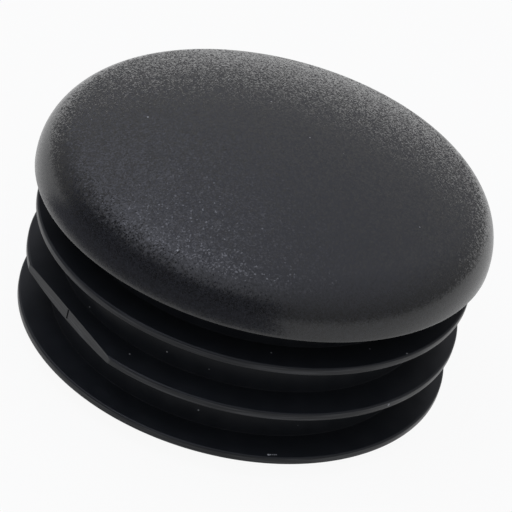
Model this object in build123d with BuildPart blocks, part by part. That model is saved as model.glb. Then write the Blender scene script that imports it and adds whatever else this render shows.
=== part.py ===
from build123d import *
import os
from math import asin, degrees, radians, sqrt, tan

# Ribbed end cap for a round steel tube, injection moulded in one piece of polyethylene.
#
# A domed head covers the end of the tube. A hollow plug hangs below it, and three thin fins round
# the plug bend as it is driven in and hold it by friction. The middle fin has a short flat, where
# the plastic entered the mould, so that what is left of the gate stays clear of the bore.
#
# Lengths are in millimetres. The origin is the centre of the seat, which is the flat underside of
# the head that lands on the tube. +Z points out of the tube, and the flat faces -Y.

# Head
head_diameter = 60.0        # the outside of the tube that the cap closes
crown_radius = 72.0         # sphere of the dome
rim_radius = 7.0            # rounding from the dome down to the side
side_height = 0.5           # straight side between that rounding and the seat's sharp edge
head_wall = 3.0             # thickness of the dome over the hollow

# Plug
core_diameter = 49.5        # the tube that carries the fins
core_wall = 2.2             # its thickness at the open end
core_tail = 1.0             # length of plain core below the last fin
lead_in = 0.4               # chamfer round the open end, which guides it into the tube
hollow_draft = 1.0          # degrees, so that the plug slides off its mould core
hollow_corner_radius = 2.0  # rounding where the hollow's wall meets its ceiling

# Fins, counted from the head down. Their upper faces are level, and their lower faces fall
# towards the core, so that the fins are stout at the root and thin enough at the tip to bend.
fin_diameters = (57.7, 57.9, 57.95)
first_fin_depth = 4.8       # seat to the upper face of the first fin
fin_pitch = 7.0
fin_tip_height = 1.08       # thickness at the tip
fin_taper = 20.0            # degrees that the lower face falls
fin_edge_radius = 0.4       # rounding of the tip's upper edge

# Gate
gate_fin = 1                # index of the fin with the flat
flat_depth = 1.79           # how far the flat lies inside the fin's edge
gate_mark_width = 0.3       # upright line left in the middle of the flat
gate_mark_depth = 0.15
cut_overrun = 1.0           # how far a cut runs past what it cuts

# Sizes that follow from these
head_r = head_diameter / 2
core_r = core_diameter / 2
hollow_r = core_r - core_wall
fin_radii = [diameter / 2 for diameter in fin_diameters]
fin_tops = [-first_fin_depth - number * fin_pitch for number in range(len(fin_radii))]
fin_tips = [top - fin_tip_height for top in fin_tops]
fin_roots = [tip - (fin_r - core_r) * tan(radians(fin_taper)) for tip, fin_r in zip(fin_tips, fin_radii)]
plug_depth = core_tail - fin_roots[-1]

# The rounding touches the dome from inside, so their centres lie crown_radius - rim_radius apart.
rim_centre_r = head_r - rim_radius
crown_centre_z = side_height - sqrt((crown_radius - rim_radius) ** 2 - rim_centre_r**2)
crown_z = crown_centre_z + crown_radius
join_slope = degrees(asin(rim_centre_r / (crown_radius - rim_radius)))


def corners(section, radii, heights):
    """The vertices of a half section that lie nearest to these radii and heights."""
    return [section.vertices().sort_by_distance(point)[0] for point in zip(radii, heights)]


with BuildPart() as end_cap:
    # The solid cap: half a section through head, core and fins, turned about the axis.
    with BuildSketch(Plane.XZ) as cap_section:
        with BuildLine():
            crown = CenterArc((0, crown_centre_z), crown_radius, 90, -join_slope)
            rim = CenterArc((rim_centre_r, side_height), rim_radius, 90 - join_slope, join_slope - 90)
            Polyline(rim @ 1, (head_r, 0), (0, 0), crown @ 0)
        make_face()
        with BuildLine():
            Polyline((0, 0), (core_r, 0), (core_r, -plug_depth), (0, -plug_depth), close=True)
        make_face()
        for fin_r, top, tip, root in zip(fin_radii, fin_tops, fin_tips, fin_roots):
            with BuildLine():
                Polyline((0, top), (fin_r, top), (fin_r, tip), (core_r, root), (0, root), close=True)
            make_face()
        fillet(corners(cap_section, fin_radii, fin_tops), fin_edge_radius)
        chamfer(corners(cap_section, [core_r], [-plug_depth]), lead_in)
    revolve(axis=Axis.Z)

    # The hollow: a bore with draft, under a ceiling that keeps the dome's thickness even.
    with BuildSketch(Plane.XZ) as hollow_section:
        narrowing = (crown_z + plug_depth) * tan(radians(hollow_draft))
        with BuildLine():
            Polyline(
                (0, -plug_depth),
                (hollow_r, -plug_depth),
                (hollow_r - narrowing, crown_z),
                (0, crown_z),
                close=True,
            )
        make_face()
        with Locations((0, crown_centre_z)):
            Circle(crown_radius - head_wall, mode=Mode.INTERSECT)
        fillet(corners(hollow_section, [hollow_r], [crown_z]), hollow_corner_radius)
    revolve(axis=Axis.Z, mode=Mode.SUBTRACT)

    # The flat on the gate's fin, with the line that the gate left down its middle.
    with BuildSketch(Plane.XY.offset(fin_tops[gate_fin] + cut_overrun)):
        with Locations((0, flat_depth - fin_radii[gate_fin])):
            Rectangle(fin_diameters[gate_fin], flat_depth + cut_overrun, align=(Align.CENTER, Align.MAX))
            Rectangle(gate_mark_width, 2 * gate_mark_depth)
    extrude(amount=fin_roots[gate_fin] - fin_tops[gate_fin] - 2 * cut_overrun, mode=Mode.SUBTRACT)

end_cap.part.label = "end_cap"
os.makedirs("parts", exist_ok=True)
export_step(end_cap.part, "parts/end_cap.step")
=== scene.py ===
# %% [markdown]
# # A push-in end cap for a round tube
#
# The cap is one moulding in black polyethylene. Its domed head is grained like fine leather, and
# its hollow plug and the fins round it came out of polished steel, so they are smooth. The packed
# solid gives the place and the size of everything. Here the same section is turned again with
# closer facets, the moulding's small marks are added, and each surface gets its finish.

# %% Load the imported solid
from math import asin, cos, degrees, exp, pi, radians, sin, sqrt, tan

import bmesh
import bpy
from mathutils import Matrix, Vector


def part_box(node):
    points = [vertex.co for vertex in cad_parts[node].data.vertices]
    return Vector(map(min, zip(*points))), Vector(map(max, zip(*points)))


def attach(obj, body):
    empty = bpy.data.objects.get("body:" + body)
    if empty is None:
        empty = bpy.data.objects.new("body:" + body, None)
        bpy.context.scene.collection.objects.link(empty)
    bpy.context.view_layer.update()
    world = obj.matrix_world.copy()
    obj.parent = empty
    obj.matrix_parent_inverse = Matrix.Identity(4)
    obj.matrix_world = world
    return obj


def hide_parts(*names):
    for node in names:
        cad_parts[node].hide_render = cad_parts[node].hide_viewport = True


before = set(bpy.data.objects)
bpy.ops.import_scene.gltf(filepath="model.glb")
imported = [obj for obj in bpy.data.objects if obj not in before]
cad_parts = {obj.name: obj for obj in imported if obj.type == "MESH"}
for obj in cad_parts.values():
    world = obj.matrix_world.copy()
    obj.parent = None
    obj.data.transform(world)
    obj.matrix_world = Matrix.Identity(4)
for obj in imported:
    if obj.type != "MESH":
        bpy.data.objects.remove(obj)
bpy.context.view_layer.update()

MM = 0.001
low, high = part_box("end_cap")
HEAD_R = high.x
CROWN_Z = high.z
MOUTH_Z = low.z
print(f"head {2 * HEAD_R / MM:.1f} mm across, crown at {CROWN_Z / MM:.2f} mm, mouth at {MOUTH_Z / MM:.2f} mm")

# %% [markdown]
# ## The head's section
#
# A turned shape starts as half of its section, in the XZ plane, with X as the radius. The bmesh
# spin operator turns a single vertex into an arc, so the dome and the rounding below it are one
# spin each: first about the centre of the dome's sphere, then about the centre of the rounding.
# Where a straight run follows, the last vertex is extruded, so that the whole section stays one
# chain of edges and can be turned in one go at the end.

# %% The dome and its rounding
CROWN_RADIUS = 72 * MM
RIM_RADIUS = 7 * MM
SIDE_HEIGHT = 0.5 * MM
CROWN_STEPS = 48
RIM_STEPS = 26

crown_centre = Vector((0, 0, CROWN_Z - CROWN_RADIUS))
rim_centre = Vector((HEAD_R - RIM_RADIUS, 0, SIDE_HEIGHT))
join_slope = asin(rim_centre.x / (CROWN_RADIUS - RIM_RADIUS))


def arc_from(bm, vert, centre, angle, steps):
    """Turns a vertex about an axis along Y through centre, and returns the arc's last vertex."""
    made = bmesh.ops.spin(bm, geom=[vert], cent=centre, axis=(0, 1, 0), angle=angle, steps=steps)
    return next(item for item in made["geom_last"] if isinstance(item, bmesh.types.BMVert))


def run_to(bm, vert, r, z):
    """Extrudes a vertex in a straight run to radius r and height z, and returns the new end."""
    end = bmesh.ops.extrude_vert_indiv(bm, verts=[vert])["verts"][0]
    end.co = (r, 0, z)
    return end


section = bmesh.new()
tail = section.verts.new((0, 0, CROWN_Z))
tail = arc_from(section, tail, crown_centre, join_slope, CROWN_STEPS)
tail = arc_from(section, tail, rim_centre, pi / 2 - join_slope, RIM_STEPS)
print(f"dome down to a slope of {degrees(join_slope):.1f} degrees, then the rounding")
print(f"{len(section.verts)} points so far")

# %% [markdown]
# ## The sink over the plug's wall
#
# Where the plug's wall runs into the head, the plastic is thickest and cools last. It shrinks
# there, and the skin of the dome over it is drawn down into a very shallow ring. The ring is far
# too wide and smooth for a bump in the material, and it bends the reflections on the dome, so it
# is made in the section itself, by lowering the dome's points with a bell curve of their radius.

# %% The sink ring
SINK_RADIUS = 23.7 * MM
SINK_WIDTH = 1.9 * MM
SINK_DEPTH = 0.02 * MM

for vert in section.verts:
    vert.co.z -= SINK_DEPTH * exp(-(((vert.co.x - SINK_RADIUS) / SINK_WIDTH) ** 2))
print(f"dome lowered by up to {SINK_DEPTH / MM:.2f} mm round radius {SINK_RADIUS / MM:.1f} mm")

# %% [markdown]
# ## The plug's section
#
# Below the head come the seat, the core with its fins, the open mouth and the hollow. All of them
# are straight runs with small rounded corners. A corner is first drawn sharp and put on a list
# with its radius. When the chain is whole, each one is rounded with a vertex bevel, which works on
# a bare chain of edges as it does on a mesh.
#
# The fins hold the cap: they are a little wider than the tube's bore, stout where they grow out of
# the core and thin at the tip, so that they bend as the cap is driven in and press outwards from
# then on. Their undersides taper by 20 degrees. Their upper faces are nearly level, and fall by a
# tenth of a millimetre to the tip.

# %% Seat, core and fins
CORE_R = 24.75 * MM
FIN_RADII = (28.85 * MM, 28.95 * MM, 28.975 * MM)
FIRST_FIN_Z = -4.8 * MM
FIN_PITCH = 7 * MM
FIN_TIP = 1.08 * MM
FIN_FALL = 0.1 * MM
FIN_TAPER = radians(20)
SEAT_EDGE = 0.12 * MM
ROOT_RADIUS = 0.05 * MM
FIN_UPPER_EDGE = 0.3 * MM
FIN_LOWER_EDGE = 0.15 * MM

corners = []


def corner_at(r, z, radius, segments):
    """Runs the chain to a corner, and notes the radius that it is rounded to later."""
    global tail
    tail = run_to(section, tail, r, z)
    corners.append((tail, radius, segments))


fin_tops = [FIRST_FIN_Z - number * FIN_PITCH for number in range(len(FIN_RADII))]
fin_tips = [top - FIN_TIP for top in fin_tops]
fin_roots = [tip - (fin_r - CORE_R) * tan(FIN_TAPER) for tip, fin_r in zip(fin_tips, FIN_RADII)]

corner_at(HEAD_R, 0, SEAT_EDGE, 3)
corner_at(CORE_R, 0, ROOT_RADIUS, 3)
for fin_r, top, tip, root in zip(FIN_RADII, fin_tops, fin_tips, fin_roots):
    corner_at(CORE_R, top, ROOT_RADIUS, 4)
    corner_at(fin_r, top - FIN_FALL, FIN_UPPER_EDGE, 6)
    corner_at(fin_r, tip, FIN_LOWER_EDGE, 4)
    corner_at(CORE_R, root, ROOT_RADIUS, 4)
root_height = fin_tops[0] - fin_roots[0]
print(f"{len(FIN_RADII)} fins, tips {FIN_TIP / MM:.2f} mm thick, roots {root_height / MM:.2f} mm")

# %% [markdown]
# ## The mouth and the hollow
#
# The plug is open below, with a small chamfer that leads it into the tube. Inside, a steel core
# kept the plastic out, so that the walls are thin and cool evenly. The hollow's wall leans in by a
# degree, which lets the part slide off that core, and its ceiling runs parallel to the dome. The
# place where the wall meets the ceiling follows from a quadratic equation, so the chain closes on
# the axis without any cut.

# %% Mouth and hollow
HOLLOW_R = 22.55 * MM
LEAD_IN = 0.4 * MM
LEAD_IN_EDGE = 0.12 * MM
MOUTH_EDGE = 0.15 * MM
DRAFT = radians(1)
HEAD_WALL = 3 * MM
HOLLOW_CORNER = 2 * MM
CEILING_STEPS = 16

# The wall leans in by the draft until it meets the ceiling, a sphere inside the dome's.
ceiling_radius = CROWN_RADIUS - HEAD_WALL
lean = tan(DRAFT)
foot = HOLLOW_R + MOUTH_Z * lean
middle = foot * lean + crown_centre.z
reach = middle**2 - (1 + lean**2) * (foot**2 + crown_centre.z**2 - ceiling_radius**2)
wall_top = (middle + sqrt(reach)) / (1 + lean**2)

corner_at(CORE_R, MOUTH_Z + LEAD_IN, LEAD_IN_EDGE, 2)
corner_at(CORE_R - LEAD_IN, MOUTH_Z, LEAD_IN_EDGE, 2)
corner_at(HOLLOW_R, MOUTH_Z, MOUTH_EDGE, 3)
corner_at(foot - wall_top * lean, wall_top, HOLLOW_CORNER, 8)
ceiling_turn = asin(tail.co.x / ceiling_radius)
first_turn = ceiling_turn / 6
tail = arc_from(section, tail, crown_centre, -first_turn, 1)
tail = arc_from(section, tail, crown_centre, first_turn - ceiling_turn, CEILING_STEPS)
print(f"hollow {2 * HOLLOW_R / MM:.1f} mm wide at the mouth, ceiling at {tail.co.z / MM:.2f} mm")


# %% [markdown]
# ## The rounded corners
#
# No moulded corner is quite sharp, and a thin line of light along an edge shows how round it is.
# The whole chain exists now, so every corner on the list can get its radius. A bevel is told how
# far along the edges to start, and for a radius r at a corner that turns by an angle a, that is r
# times tan(a / 2).

# %% Round the corners
def round_corner(bm, vert, radius, segments):
    """Rounds a corner of the chain to a radius."""
    before, after = [(edge.other_vert(vert).co - vert.co).normalized() for edge in vert.link_edges]
    turn = pi - before.angle(after)
    bmesh.ops.bevel(
        bm,
        geom=[vert],
        offset=radius * tan(turn / 2),
        offset_type="OFFSET",
        segments=segments,
        profile=0.5,
        affect="VERTICES",
        material=-1,
    )


for vert, radius, segments in corners:
    round_corner(section, vert, radius, segments)
print(f"{len(corners)} corners rounded, {len(section.verts)} points in the whole section")

# %% [markdown]
# ## Turning the section
#
# One full spin turns the chain into a skin. The spin merges its last copy with its first, so that
# the seam is closed, and the two ends of the chain lie on the axis, where all their copies fall on
# one point and are merged too. The normals are then worked out afresh, because a spin can leave
# the skin inside out.

# %% Turn it about the axis
TURN_STEPS = 360

bmesh.ops.spin(
    section,
    geom=section.verts[:] + section.edges[:],
    cent=(0, 0, 0),
    axis=(0, 0, 1),
    angle=2 * pi,
    steps=TURN_STEPS,
    use_merge=True,
)
bmesh.ops.remove_doubles(section, verts=section.verts[:], dist=1e-7)
bmesh.ops.recalc_face_normals(section, faces=section.faces[:])
open_edges = sum(edge.is_boundary for edge in section.edges)
print(f"{len(section.faces)} faces, {open_edges} open edges")

# %% [markdown]
# ## The gate's flat
#
# The plastic entered the mould at the edge of the middle fin. A short flat there keeps the trimmed
# gate inside the bore. It is cut with bisect_plane on that fin's faces alone, which clears what
# lies outside the plane, and the hole is closed with one flat face. The gate itself left a short
# upright mark in the middle: the flat is divided round it, and the small face is pushed in.

# %% Cut the flat and its mark
GATE_FIN = 1
FLAT_DISTANCE = 27.16 * MM
GATE_MARK_WIDTH = 0.3 * MM
GATE_MARK_TOP = -11.95 * MM
GATE_MARK_BOTTOM = -13.3 * MM
GATE_MARK_DEPTH = 0.15 * MM


def with_edges(faces):
    """The faces with all their edges and corners, as bisect_plane wants them."""
    edges = dict.fromkeys(edge for face in faces for edge in face.edges)
    verts = dict.fromkeys(vert for face in faces for vert in face.verts)
    return [*faces, *edges, *verts]


def on_gate_fin(face):
    place = face.calc_center_median()
    outside = Vector((place.x, place.y)).length > CORE_R + ROOT_RADIUS
    return outside and fin_roots[GATE_FIN] < place.z < fin_tops[GATE_FIN] + ROOT_RADIUS and place.y < 0


fin_faces = [face for face in section.faces if on_gate_fin(face)]
bmesh.ops.bisect_plane(
    section,
    geom=with_edges(fin_faces),
    dist=1e-7,
    plane_co=(0, -FLAT_DISTANCE, 0),
    plane_no=(0, -1, 0),
    clear_outer=True,
)
rim_of_cut = [edge for edge in section.edges if edge.is_boundary]
flat = bmesh.ops.contextual_create(section, geom=rim_of_cut)["faces"][0]


def sliced(faces, place, normal):
    """Cuts faces by a plane, without taking anything away, and returns the faces that they become."""
    cut = bmesh.ops.bisect_plane(
        section, geom=with_edges(faces), dist=1e-7, plane_co=place, plane_no=normal
    )
    return [item for item in cut["geom"] if isinstance(item, bmesh.types.BMFace)]


def nearest(faces, place):
    """The face whose middle is nearest to a point."""
    return min(faces, key=lambda face: (face.calc_center_median() - Vector(place)).length)


mark_place = (0, -FLAT_DISTANCE, (GATE_MARK_TOP + GATE_MARK_BOTTOM) / 2)
right_of_left = nearest(sliced([flat], (-GATE_MARK_WIDTH / 2, 0, 0), (1, 0, 0)), (1 * MM, *mark_place[1:]))
strip = nearest(sliced([right_of_left], (GATE_MARK_WIDTH / 2, 0, 0), (1, 0, 0)), mark_place)
strip = nearest(sliced([strip], (0, 0, GATE_MARK_TOP), (0, 0, 1)), mark_place)
gate_mark = nearest(sliced([strip], (0, 0, GATE_MARK_BOTTOM), (0, 0, 1)), mark_place)
floor_of_mark = bmesh.ops.extrude_discrete_faces(section, faces=[gate_mark])["faces"]
bmesh.ops.translate(section, verts=floor_of_mark[0].verts[:], vec=(0, GATE_MARK_DEPTH, 0))
open_edges = sum(edge.is_boundary for edge in section.edges)
flat_length = 2 * sqrt(FIN_RADII[GATE_FIN] ** 2 - FLAT_DISTANCE**2)
print(f"flat {flat_length / MM:.1f} mm long, {open_edges} open edges")

# %% [markdown]
# ## From skin to piece
#
# The mould has three kinds of steel: the etched cavity over the head, the polished rings round the
# plug, and the turned core inside the hollow. Their marks differ, so the faces get a material
# number by where they lie. All faces are shaded smooth except across edges that turn by more than
# 35 degrees, and a Weighted Normal modifier lets the wide faces set the shading beside the narrow
# rounded ones. The spin makes its faces in an order that changes from run to run, and the cuts then
# pass that on. So the vertices are sorted by place, and the edges and faces by their vertices,
# before the mesh is made.

# %% Make the object
SHARP_ANGLE = radians(35)
GRAINED, POLISHED, TURNED = range(3)


def mould_steel(face):
    """Which steel shaped this face: the cavity over the head, the rings round the plug, or the core."""
    place = face.calc_center_median()
    r = Vector((place.x, place.y)).length
    over_ceiling = (place - crown_centre).length > CROWN_RADIUS - HEAD_WALL / 2
    if place.z > 0 and (over_ceiling or r > CORE_R):
        return GRAINED
    return TURNED if r < (CORE_R + HOLLOW_R) / 2 else POLISHED


def put_in_order(elements, place):
    """Sorts vertices, edges or faces by what place gives for each of them, and numbers them anew."""
    ranks = {item: rank for rank, item in enumerate(sorted(elements, key=place))}
    elements.sort(key=ranks.get)
    elements.index_update()


def corner_numbers(item):
    """The numbers of an edge's or a face's vertices, from low to high."""
    return sorted(vert.index for vert in item.verts)


for face in section.faces:
    face.material_index = mould_steel(face)
    face.smooth = True
put_in_order(section.verts, lambda vert: vert.co[:])
put_in_order(section.edges, corner_numbers)
put_in_order(section.faces, corner_numbers)
cap_mesh = bpy.data.meshes.new("cap")
section.to_mesh(cap_mesh)
section.free()
cap_mesh.set_sharp_from_angle(angle=SHARP_ANGLE)
cap = bpy.data.objects.new("cap", cap_mesh)
bpy.context.scene.collection.objects.link(cap)
weighted = cap.modifiers.new("weighted_normals", "WEIGHTED_NORMAL")
weighted.keep_sharp = True
triangles = sum(len(face.vertices) - 2 for face in cap_mesh.polygons)
print(f"{triangles} triangles")


# %% [markdown]
# ## How the finishes are built
#
# All three finishes are one black polyethylene, and differ only in the steel that they were pressed
# against. Each is a Principled shader whose Base Color, Roughness and Normal come from textures.
# The textures are laid out with the Object output of Texture Coordinate, in metres, so a texture
# scale is simply one over the size of its cells in metres: a scale of 5000 makes cells of 0.2 mm.
# How strongly a finish reflects is the same all over it, and is a plain number on its shader.

# %% Helpers for the finishes
SPECULAR = 0.5  # refractive index 1.5


def finish(name, color, roughness, specular):
    """A new material: the material itself, its shader, and places on it in metres."""
    material = bpy.data.materials.new(name)
    material.use_nodes = True
    shader = material.node_tree.nodes["Principled BSDF"]
    shader.inputs["Base Color"].default_value = (*color, 1)
    shader.inputs["Roughness"].default_value = roughness
    shader.inputs["Specular IOR Level"].default_value = specular
    place = material.node_tree.nodes.new("ShaderNodeTexCoord").outputs["Object"]
    return material, shader, place


def node(tree, kind, *inputs, **named):
    """Adds a node. Inputs come in their order or by name, and names in small letters are settings."""
    made = tree.nodes.new(kind)
    for name, value in named.items():
        if name.islower():
            setattr(made, name, value)
    sockets = [socket for socket in made.inputs if socket.enabled]
    by_name = {socket.name.replace(" ", "_"): socket for socket in sockets}
    wanted = [*zip(sockets, inputs), *((by_name[name], named[name]) for name in named if not name.islower())]
    for socket, value in wanted:
        if isinstance(value, bpy.types.NodeSocket):
            tree.links.new(value, socket)
        else:
            socket.default_value = value
    return made


def spread(tree, value, low, high, start=0.0, end=1.0, shape="LINEAR"):
    """Maps a value that runs from start to end onto low to high."""
    ranged = node(
        tree, "ShaderNodeMapRange", value, start, end, low, high, interpolation_type=shape
    )
    return ranged.outputs["Result"]


def blended(tree, factor, first, second):
    """A colour between two, each of them a colour or another node's output."""
    mixed = node(tree, "ShaderNodeMix", Factor=factor, A=first, B=second, data_type="RGBA")
    return next(socket for socket in mixed.outputs if socket.enabled)


# %% [markdown]
# ## Dust
#
# Black plastic shows every grain of dust. A Voronoi texture scatters points through space, and
# the few whose small spheres happen to cut the skin become specks. Each point has a random colour,
# and comparing it with a limit leaves out most of them, so that the dust stays sparse and uneven.
#
# A few flecks are no accident of the texture and have a place of their own: a row of small ones on
# the last fin, which could be a whisker of plastic that the mould left standing, and three single
# grains. Each is a small sphere again, and whatever skin lies within it turns pale. A fleck's place
# is how far round it lies from the flat, and how far in from its fin's edge or out from the axis.
# Its height isn't chosen, because it follows from the surface that the fleck lies on.

# %% Flecks with a place of their own
SOLID_SHARE = 0.6  # share of a speck's width that is fully pale
WHISKER_FLECKS = 5
WHISKER_START = radians(65.4)
WHISKER_END = radians(67.4)
WHISKER_START_INSET = 0.53 * MM
WHISKER_END_INSET = 0.63 * MM
WHISKER_FIRST_WIDTH = 0.38 * MM
WHISKER_WIDTH = 0.22 * MM
FACE_FLECK_TURN = radians(97.7)
FACE_FLECK_INSET = 0.36 * MM
FACE_FLECK_WIDTH = 0.26 * MM
TIP_FLECK_TURN = radians(95.8)
TIP_FLECK_WIDTH = 0.4 * MM
DOME_FLECK_TURN = radians(-28.9)
DOME_FLECK_RADIUS = 17.3 * MM
DOME_FLECK_WIDTH = 0.3 * MM


def round_from_flat(turn, radius, height):
    """The point at a radius and height that lies this far round from the flat."""
    return Vector((radius * sin(turn), -radius * cos(turn), height))


def on_fin(number, turn, inset):
    """A point on a fin's upper face, this far in from its edge."""
    radius = FIN_RADII[number] - inset
    fall = FIN_FALL * (radius - CORE_R) / (FIN_RADII[number] - CORE_R)
    return round_from_flat(turn, radius, fin_tops[number] - fall)


def on_dome(turn, radius):
    """A point on the dome, this far from the axis."""
    return round_from_flat(turn, radius, crown_centre.z + sqrt(CROWN_RADIUS**2 - radius**2))


def whisker():
    """Where each fleck of the row lies and how wide it is, from the row's thick end on."""
    for number in range(WHISKER_FLECKS):
        share = number / (WHISKER_FLECKS - 1)
        turn = WHISKER_START + share * (WHISKER_END - WHISKER_START)
        inset = WHISKER_START_INSET + share * (WHISKER_END_INSET - WHISKER_START_INSET)
        yield on_fin(-1, turn, inset), WHISKER_WIDTH if number else WHISKER_FIRST_WIDTH


tip_middle = (fin_tops[GATE_FIN] - FIN_FALL + fin_tips[GATE_FIN]) / 2
placed_flecks = [
    *whisker(),
    (on_fin(0, FACE_FLECK_TURN, FACE_FLECK_INSET), FACE_FLECK_WIDTH),
    (round_from_flat(TIP_FLECK_TURN, FIN_RADII[GATE_FIN], tip_middle), TIP_FLECK_WIDTH),
    (on_dome(DOME_FLECK_TURN, DOME_FLECK_RADIUS), DOME_FLECK_WIDTH),
]


def flecks(tree, place):
    """How much of a fleck there is at each place, from 0 to 1."""
    covered = 0.0
    for middle, width in placed_flecks:
        apart = node(tree, "ShaderNodeVectorMath", place, middle, operation="DISTANCE").outputs["Value"]
        near = spread(tree, apart, 1.0, 0.0, SOLID_SHARE * width / 2, width / 2)
        covered = node(tree, "ShaderNodeMath", near, covered, operation="MAXIMUM").outputs[0]
    return covered


print(f"{len(placed_flecks)} flecks with a place of their own")

# %% Specks of dust
DUST_SPACING = 3.2 * MM
DUST_RADIUS = 0.12 * MM
DUST_SHARE = 0.5
DUST_COLOR = (0.3, 0.31, 0.32, 1)
DUST_ROUGHNESS = 0.4  # how much rougher dust is than the plastic under it


def dusted(tree, place, color):
    """The given colour with dust on it, and how much dust there is at each place."""
    points = node(tree, "ShaderNodeTexVoronoi", Vector=place, Scale=1 / DUST_SPACING)
    radius = DUST_RADIUS / DUST_SPACING
    near = spread(tree, points.outputs["Distance"], 1.0, 0.0, SOLID_SHARE * radius, radius)
    picked = node(tree, "ShaderNodeSeparateColor", points.outputs["Color"]).outputs["Red"]
    some = node(tree, "ShaderNodeMath", picked, DUST_SHARE, operation="LESS_THAN").outputs[0]
    specks = node(tree, "ShaderNodeMath", near, some, operation="MULTIPLY").outputs[0]
    dust = node(tree, "ShaderNodeMath", specks, flecks(tree, place), operation="MAXIMUM").outputs[0]
    return blended(tree, dust, color, DUST_COLOR), dust


print(f"dust up to {2 * DUST_RADIUS / MM:.2f} mm across, {DUST_SPACING / MM:.1f} mm apart before sorting")

# %% [markdown]
# ## The grained head
#
# The cavity over the head is etched, which leaves the plastic covered in tiny facets that tilt at
# random. One facet is smaller than the eye can follow, but together they spread a lamp's
# reflection into a patch of fine sparkle. A bump map of such small cells would mostly be averaged
# away, so the facets tilt the shading normal themselves: each cell of a Voronoi texture has one
# random colour, and that colour, moved to lie evenly round zero, is added to the normal as a
# tilt. The same colour also makes some facets glossier than others, and paints some darker and
# some paler: a painted shade of the etched pits and painted light on the peaks between them.
#
# Etching is kept shallow where the skin runs along the mould's opening, or the part would drag, so
# the grain fades down the rim, where the normal no longer points up. A soft noise under the facets
# and a slow one that varies their depth keep the dome from looking printed.

# %% The head's finish
FACET = 0.18 * MM
FACET_TILT = 0.50
FACET_TILT_RIM = 0.05
ORANGE_PEEL = 0.50 * MM
ORANGE_PEEL_DEPTH = 0.022 * MM
PATCH = 14 * MM
# The facets' colours: a painted shade for the pits and painted light for the peaks.
PIT_SHADE_COLOR = (0.0005, 0.0006, 0.001, 1)
PEAK_LIGHT_COLOR = (0.010, 0.011, 0.014, 1)

head_finish, head_shader, place = finish("grained_head", (0.006, 0.007, 0.009), 0.2, SPECULAR)
tree = head_finish.node_tree
normal = node(tree, "ShaderNodeNewGeometry").outputs["Normal"]
upright = node(tree, "ShaderNodeSeparateXYZ", normal).outputs["Z"]
etched = spread(tree, upright, 0.0, 1.0, 0.4, 0.95, "SMOOTHSTEP")
patches = node(tree, "ShaderNodeTexNoise", Vector=place, Scale=1 / PATCH, Detail=3.0).outputs[0]
patchy = spread(tree, patches, 0.85, 1.15, 0.3, 0.7)
depth = node(tree, "ShaderNodeMath", etched, patchy, operation="MULTIPLY")

facets = node(tree, "ShaderNodeTexVoronoi", Vector=place, Scale=1 / FACET).outputs["Color"]
around_zero = node(tree, "ShaderNodeVectorMath", facets, (0.5, 0.5, 0.5), operation="SUBTRACT").outputs[0]
tilt = spread(tree, depth.outputs[0], FACET_TILT_RIM, FACET_TILT)
tilted = node(tree, "ShaderNodeVectorMath", Vector=around_zero, Scale=tilt, operation="SCALE").outputs[0]
peel = node(
    tree, "ShaderNodeTexNoise", Vector=place, Scale=1 / ORANGE_PEEL, Detail=2.0, Roughness=0.6
).outputs[0]
peel_depth = spread(tree, depth.outputs[0], 0.3 * ORANGE_PEEL_DEPTH, ORANGE_PEEL_DEPTH)
skin = node(tree, "ShaderNodeBump", Strength=1.0, Distance=peel_depth, Height=peel).outputs[0]
summed = node(tree, "ShaderNodeVectorMath", skin, tilted, operation="ADD").outputs[0]
grain_normal = node(tree, "ShaderNodeVectorMath", summed, operation="NORMALIZE").outputs[0]
tree.links.new(grain_normal, head_shader.inputs["Normal"])

chance = node(tree, "ShaderNodeSeparateColor", facets)
# Each facet's colour runs from the pit colour to the peak colour: painted shade in the pits, painted light on
# the peaks.
grain_shade_and_dust_color, dust = dusted(tree, place, blended(tree, chance.outputs["Red"], PIT_SHADE_COLOR, PEAK_LIGHT_COLOR))
tree.links.new(grain_shade_and_dust_color, head_shader.inputs["Base Color"])
gloss = spread(tree, chance.outputs["Green"], -0.06, 0.06)
worn = node(tree, "ShaderNodeMath", spread(tree, etched, 0.26, 0.2), gloss, operation="ADD").outputs[0]
head_roughness = node(tree, "ShaderNodeMath", dust, DUST_ROUGHNESS, worn, operation="MULTIPLY_ADD").outputs[0]
tree.links.new(head_roughness, head_shader.inputs["Roughness"])
print(f"facets of {FACET / MM:.2f} mm tilted by up to {degrees(FACET_TILT / 2):.0f} degrees each way")

# %% [markdown]
# ## The plug and the hollow
#
# The rings that shaped the plug were turned and then polished, and the core that shaped the hollow
# was only turned. Both leave fine lines that run round the axis. Such lines need no mapping round
# the part: a noise that is looked up at the distance from the axis and the height alone has the
# same value all the way round. The polished plug keeps just a trace of them, over a slow
# unevenness that comes from the plastic shrinking, and the hollow shows them clearly.
#
# The head reflects as a refractive index of 1.5 asks, which is about right for polyethylene. The
# plug and the hollow are set to reflect less than half as much. That is a choice for the look and
# no property of the plastic: at full strength the core mirrors the white table between the fins.
#
# The tips of the fins, and the flat, rub against whatever the cap is packed with or pushed into.
# They are the only faces that lie so far out and stand upright, so the distance from the axis and
# the height of the normal pick them out. There the colour is painted paler: partly as thin scratches
# that run along the fin, a noise whose cells are long across the cap and very low, and partly as a
# painted reflection of the white table, which these upright faces would mirror at full strength.

# %% The plug's and the hollow's finishes
PLUG_SPECULAR = 0.2
PLUG_ROUGHNESS = (0.33, 0.39)
HOLLOW_ROUGHNESS = (0.36, 0.44)
PLUG_COLOR = (0.0115, 0.0130, 0.0155, 1)
SHADED_COLOR = (0.0095, 0.0108, 0.0130, 1)
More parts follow.
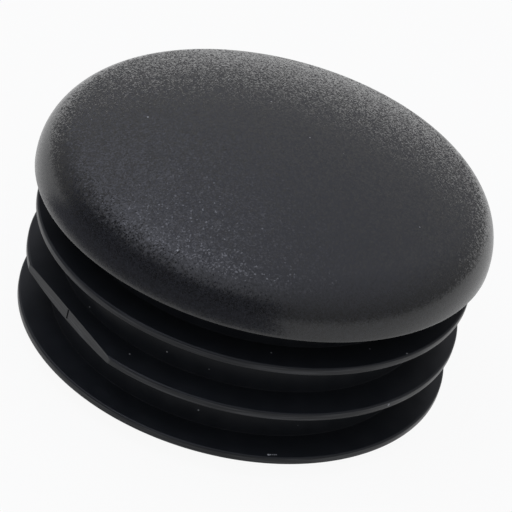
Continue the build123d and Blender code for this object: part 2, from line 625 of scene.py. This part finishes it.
# The tips' colours are partly scratches and partly a painted reflection of the white table.
TIP_SHEEN_COLOR = (0.0125, 0.0135, 0.015, 1)
SCRATCH_AND_SHEEN_COLOR = (0.045, 0.047, 0.049, 1)
SCRATCH_LENGTH = 7 * MM
SCRATCH_WIDTH = 0.18 * MM
TURNING_PITCH = 0.35 * MM
POLISH_DEPTH = 0.0012 * MM
TURNING_DEPTH = 0.008 * MM
SHRINKAGE = 2.2 * MM
SHRINKAGE_DEPTH = 0.012 * MM


def tips_with_scratches_and_painted_sheen(tree, place, radius, color):
    """The given colour, with the fins' tips painted paler: scratches, and a painted reflection of the table.
    """
    normal = node(tree, "ShaderNodeNewGeometry").outputs["Normal"]
    rise = node(tree, "ShaderNodeSeparateXYZ", normal).outputs["Z"]
    slope = node(tree, "ShaderNodeMath", rise, operation="ABSOLUTE").outputs[0]
    upright = spread(tree, slope, 1.0, 0.0, 0.25, 0.75)
    far_out = spread(tree, radius, 0.0, 1.0, FLAT_DISTANCE - 0.5 * MM, FLAT_DISTANCE)
    tips = node(tree, "ShaderNodeMath", far_out, upright, operation="MULTIPLY").outputs[0]
    cells = (1 / SCRATCH_LENGTH, 1 / SCRATCH_LENGTH, 1 / SCRATCH_WIDTH)
    stretched = node(tree, "ShaderNodeVectorMath", place, cells, operation="MULTIPLY").outputs[0]
    scratches = node(tree, "ShaderNodeTexNoise", Vector=stretched, Scale=1.0, Detail=2.0).outputs[0]
    # The paler tip colour is partly scratches and partly a painted reflection of the table.
    scratched = blended(tree, spread(tree, scratches, 0.0, 1.0, 0.45, 0.7), TIP_SHEEN_COLOR, SCRATCH_AND_SHEEN_COLOR)
    return blended(tree, tips, color, scratched)


def turned_finish(name, smooth, matt, line_depth):
    """Plastic from turned steel: line_depth is the depth of the lines that run round the axis."""
    material, shader, place = finish(name, PLUG_COLOR[:3], (smooth + matt) / 2, PLUG_SPECULAR)
    tree = material.node_tree
    flat = node(tree, "ShaderNodeVectorMath", place, (1, 1, 0), operation="MULTIPLY").outputs[0]
    radius = node(tree, "ShaderNodeVectorMath", flat, operation="LENGTH").outputs["Value"]
    height = node(tree, "ShaderNodeSeparateXYZ", place).outputs["Z"]
    section_place = node(tree, "ShaderNodeCombineXYZ", radius, height).outputs[0]
    lines = node(
        tree, "ShaderNodeTexNoise", Vector=section_place, Scale=1 / TURNING_PITCH, Detail=2.0
    ).outputs[0]
    slow = node(tree, "ShaderNodeTexNoise", Vector=place, Scale=1 / SHRINKAGE, Detail=2.0).outputs[0]
    uneven = node(tree, "ShaderNodeBump", Strength=1.0, Distance=SHRINKAGE_DEPTH, Height=slow).outputs[0]
    ringed = node(
        tree, "ShaderNodeBump", Strength=1.0, Distance=line_depth, Height=lines, Normal=uneven
    ).outputs[0]
    tree.links.new(ringed, shader.inputs["Normal"])
    plain = blended(tree, spread(tree, slow, 0.0, 1.0, 0.35, 0.65), SHADED_COLOR, PLUG_COLOR)
    color, dust = dusted(tree, place, tips_with_scratches_and_painted_sheen(tree, place, radius, plain))
    tree.links.new(color, shader.inputs["Base Color"])
    rubbed = spread(tree, slow, smooth, matt, 0.35, 0.65)
    roughness = node(
        tree, "ShaderNodeMath", dust, DUST_ROUGHNESS, rubbed, operation="MULTIPLY_ADD"
    ).outputs[0]
    tree.links.new(roughness, shader.inputs["Roughness"])
    return material


plug_finish = turned_finish("polished_plug", *PLUG_ROUGHNESS, POLISH_DEPTH)
hollow_finish = turned_finish("turned_hollow", *HOLLOW_ROUGHNESS, TURNING_DEPTH)
for material in (head_finish, plug_finish, hollow_finish):
    cap_mesh.materials.append(material)
print(f"lines {TURNING_PITCH / MM:.2f} mm apart, {TURNING_DEPTH / MM:.3f} mm deep in the hollow")
print(f"scratches {SCRATCH_LENGTH / MM:.0f} mm long and {SCRATCH_WIDTH / MM:.2f} mm wide on the fins' tips")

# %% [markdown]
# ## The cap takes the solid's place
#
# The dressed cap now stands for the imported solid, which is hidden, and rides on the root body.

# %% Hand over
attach(cap, "root")
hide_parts("end_cap")
print(f"{cap.name} stands for end_cap")

# %% [markdown]
# ## Table
#
# The cap stands on its open mouth on a white table. Lit no more brightly than the cap itself, a
# white table renders as pale grey. So for camera, glossy and transmitted rays most of its shader
# is an emission of strength 1, which is white, and the rest is a plain diffuse grey that still
# catches the cap's shadow. The cap's skin then mirrors the same white table that the camera sees.
# Diffuse rays see none of the emission, so the table throws no extra light on the cap.

# %% The white table
TABLE_COLOR = (0.6, 0.6, 0.6)
BACKGROUND_GLOW = 0.93
TABLE_SIZE = 3.0


def staged(name, bm, material):
    """Turns a bmesh into an object of its own, with one material, apart from the cap."""
    mesh = bpy.data.meshes.new(name)
    bm.to_mesh(mesh)
    bm.free()
    mesh.materials.append(material)
    thing = bpy.data.objects.new(name, mesh)
    bpy.context.scene.collection.objects.link(thing)
    return thing


table_finish, table_shader = finish("white_table", TABLE_COLOR, 1.0, 0.0)[:2]
tree = table_finish.node_tree
rays = node(tree, "ShaderNodeLightPath").outputs
seen = rays["Is Camera Ray"]
for kind in ("Is Glossy Ray", "Is Transmission Ray"):
    seen = node(tree, "ShaderNodeMath", seen, rays[kind], operation="ADD").outputs[0]
share = node(tree, "ShaderNodeMath", seen, BACKGROUND_GLOW, operation="MULTIPLY").outputs[0]
glow = node(tree, "ShaderNodeEmission", Strength=1.0).outputs[0]
shown = node(tree, "ShaderNodeMixShader", share, table_shader.outputs[0], glow).outputs[0]
tree.links.new(shown, tree.nodes["Material Output"].inputs["Surface"])

bm = bmesh.new()
foot = Matrix.Translation((0, 0, MOUTH_Z))
bmesh.ops.create_grid(bm, x_segments=1, y_segments=1, size=TABLE_SIZE, matrix=foot)
staged("table", bm, table_finish)
print(f"table at {MOUTH_Z / MM:.2f} mm, {2 * TABLE_SIZE:.0f} m wide")

# %% [markdown]
# ## Camera
#
# The camera looks down on the dome from a hand's breadth above the table, far enough away for the
# perspective to stay gentle, and is turned about its own axis, so that the cap leans in the
# picture. Its place is given as a direction and a distance from the origin, as are the lamps'.


# %% The camera
def towards(azimuth, elevation):
    """The direction of an azimuth, counted from -Y towards +X, and an elevation."""
    return Vector((cos(elevation) * sin(azimuth), -cos(elevation) * cos(azimuth), sin(elevation)))


CAMERA_AZIMUTH = radians(47.9)
CAMERA_ELEVATION = radians(31.54)
CAMERA_DISTANCE = 287.29 * MM
CAMERA_ROLL = radians(15.16)
CAMERA_AIM = Vector((3.41, -2.10, -6.23)) * MM
LENS = 156.76

camera = bpy.data.objects.new("camera", bpy.data.cameras.new("camera"))
camera.data.lens = LENS
camera.data.clip_start = 0.01
camera.location = CAMERA_DISTANCE * towards(CAMERA_AZIMUTH, CAMERA_ELEVATION)
unrolled = (CAMERA_AIM - camera.location).to_track_quat("-Z", "Y").to_matrix()
camera.rotation_euler = (unrolled @ Matrix.Rotation(CAMERA_ROLL, 3, "Z")).to_euler()
bpy.context.scene.collection.objects.link(camera)
bpy.context.scene.camera = camera
print(f"camera {CAMERA_DISTANCE / MM:.0f} mm away, {degrees(CAMERA_ELEVATION):.1f} degrees up")

# %% [markdown]
# ## Light
#
# Black plastic shows almost nothing of its own colour. What one sees is the room, reflected in it,
# so the light is built as things to be reflected. The world is a pale room that grows brighter
# from the horizon to the ceiling. A wide softbox hangs over the far left, and its cloth is
# brightest in front of the lamp: it is made of three area lamps, from wide and faint to small and
# bright, and the small one gives the grain its sparkle. An area lamp's radiance is its power over
# pi times its area, so the power follows from the level that the cloth should have.

# %% The room and the softbox
HORIZON_LEVEL = 0.32
ZENITH_LEVEL = 0.88
HORIZON_COLOR = (1.01, 1.0, 0.98, 1)
ZENITH_COLOR = (0.95, 0.97, 1.10, 1)
LAMP_COLOR = (0.94, 0.97, 1.13)
SOFTBOX_DISTANCE = 1.0
SOFTBOX_PANELS = {
    # name: azimuth from the camera's, elevation, half width and half depth in degrees, level
    "softbox_cloth": (285, 66, 48, 24, 0.30),
    "softbox_middle": (272, 59, 32, 12, 0.42),
    "softbox_lamp": (300, 67, 10, 6, 2.0),
}

scene = bpy.context.scene
scene.view_settings.view_transform = "Standard"
world = bpy.data.worlds.new("room")
scene.world = world
world.use_nodes = True
tree = world.node_tree
direction = node(tree, "ShaderNodeTexCoord").outputs["Object"]
rise = node(tree, "ShaderNodeSeparateXYZ", direction).outputs["Z"]
background = tree.nodes["Background"]
tree.links.new(blended(tree, rise, HORIZON_COLOR, ZENITH_COLOR), background.inputs["Color"])
tree.links.new(spread(tree, rise, HORIZON_LEVEL, ZENITH_LEVEL), background.inputs["Strength"])

for number, (name, (azimuth, elevation, half_width, half_depth, level)) in enumerate(SOFTBOX_PANELS.items()):
    lamp = bpy.data.lights.new(name, "AREA")
    lamp.shape = "RECTANGLE"
    lamp.size = 2 * SOFTBOX_DISTANCE * tan(radians(half_width))
    lamp.size_y = 2 * SOFTBOX_DISTANCE * tan(radians(half_depth))
    lamp.energy = pi * lamp.size * lamp.size_y * level
    lamp.color = LAMP_COLOR
    panel = bpy.data.objects.new(name, lamp)
    distance = SOFTBOX_DISTANCE * (1 - 0.01 * number)
    panel.location = distance * towards(CAMERA_AZIMUTH + radians(azimuth), radians(elevation))
    panel.rotation_euler = panel.location.to_track_quat("Z", "Y").to_euler()
    panel.visible_camera = False
    scene.collection.objects.link(panel)
    print(f"{name}: {lamp.size:.2f} by {lamp.size_y:.2f} m, level {level}")

# %% [markdown]
# ## Grey card
#
# The near side of the rim faces the table and the wall behind the camera. White ones would make it
# glare, so a studio lays a grey card there. This one is an L that is spun part of the way round
# the cap: one leg lies on the table, clear of the cap, and the other stands at its far edge. It is
# there to be reflected and for nothing else, so the camera, diffuse rays and shadows miss it.

# %% The card
CARD_COLOR = (0.30, 0.30, 0.31)
CARD_MIDDLE = radians(321)
CARD_HALF_TURN = radians(57)
CARD_INNER = 62 * MM
CARD_OUTER = 1.0
CARD_TOP = radians(30)
CARD_LIFT = 0.3 * MM

card_finish = finish("grey_card", CARD_COLOR, 1.0, 0.0)[0]
card_start = towards(CAMERA_AZIMUTH + CARD_MIDDLE - CARD_HALF_TURN, 0)
ground = Vector((0, 0, MOUTH_Z + CARD_LIFT))
bm = bmesh.new()
corner_verts = [
    bm.verts.new(card_start * CARD_INNER + ground),
    bm.verts.new(card_start * CARD_OUTER + ground),
    bm.verts.new(card_start * CARD_OUTER + ground + Vector((0, 0, CARD_OUTER * tan(CARD_TOP)))),
]
legs = [bm.edges.new(pair) for pair in zip(corner_verts, corner_verts[1:])]
bmesh.ops.spin(
    bm, geom=corner_verts + legs, cent=(0, 0, 0), axis=(0, 0, 1), angle=2 * CARD_HALF_TURN, steps=24
)
card = staged("card", bm, card_finish)
card.visible_camera = False
card.visible_diffuse = False
card.visible_shadow = False
print(f"card spans {degrees(2 * CARD_HALF_TURN):.0f} degrees, up to {degrees(CARD_TOP):.0f} degrees high")
